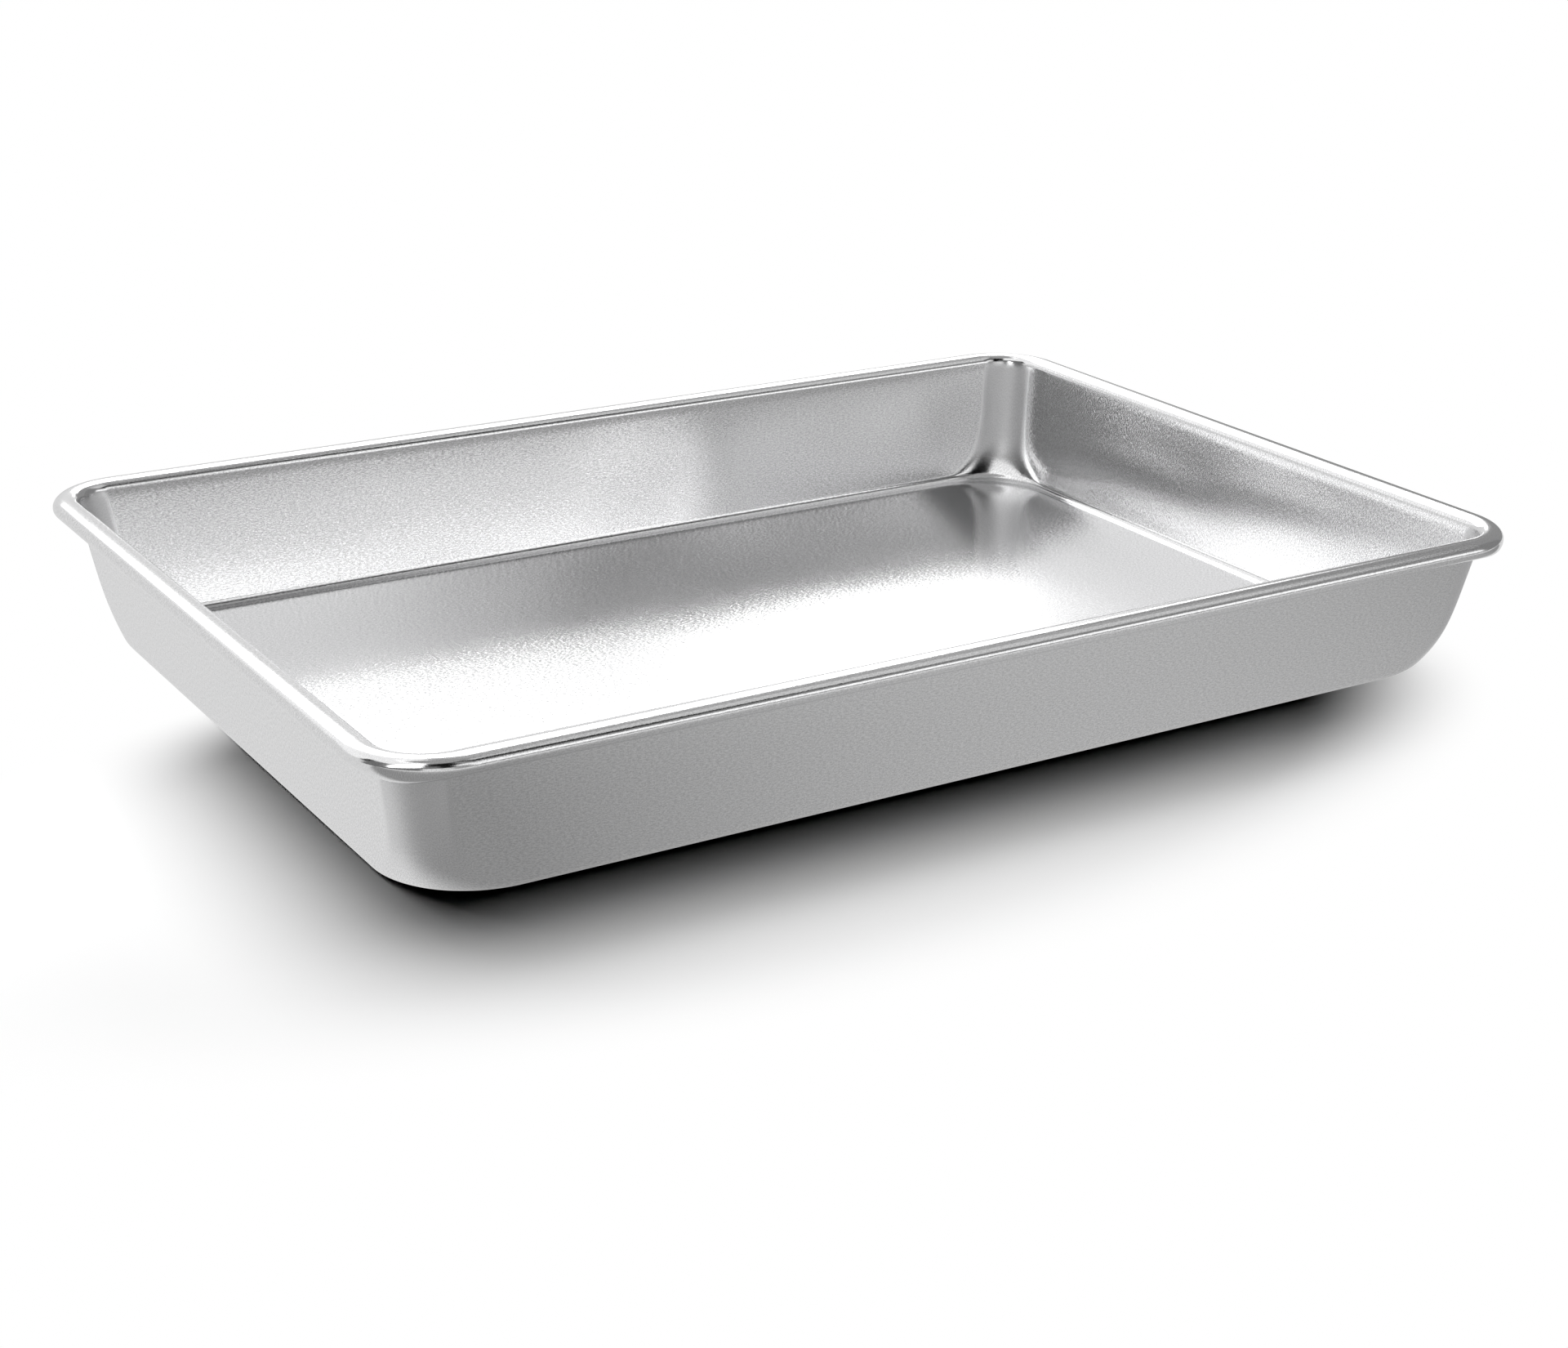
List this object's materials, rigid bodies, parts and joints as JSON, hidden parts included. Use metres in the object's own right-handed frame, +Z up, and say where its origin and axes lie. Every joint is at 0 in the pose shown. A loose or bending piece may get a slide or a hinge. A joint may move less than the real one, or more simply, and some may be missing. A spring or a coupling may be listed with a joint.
{
  "type": "roasting pan",
  "caption": "Deep rectangular roasting pan pressed from aluminium sheet, with tapered walls, a flat floor, rounded corners and a rim curled over a steel wire.",
  "frame": {"origin": "under the middle of the floor, on the surface that the pan stands on", "axes": "+X along the pan's length, +Y across it, from the long side nearest in the picture to the far one, +Z up, out of the open mouth"},
  "size_m": [0.455, 0.32, 0.054],
  "materials": {
    "satin_aluminium": "satin, as rolled, with fine grain along the length and small scuffs",
    "galvanised_steel": "dull zinc coated wire"
  },
  "bodies": {
    "root": {"pan_body": "satin_aluminium", "rim_wire": "galvanised_steel"}
  },
  "joints": []
}
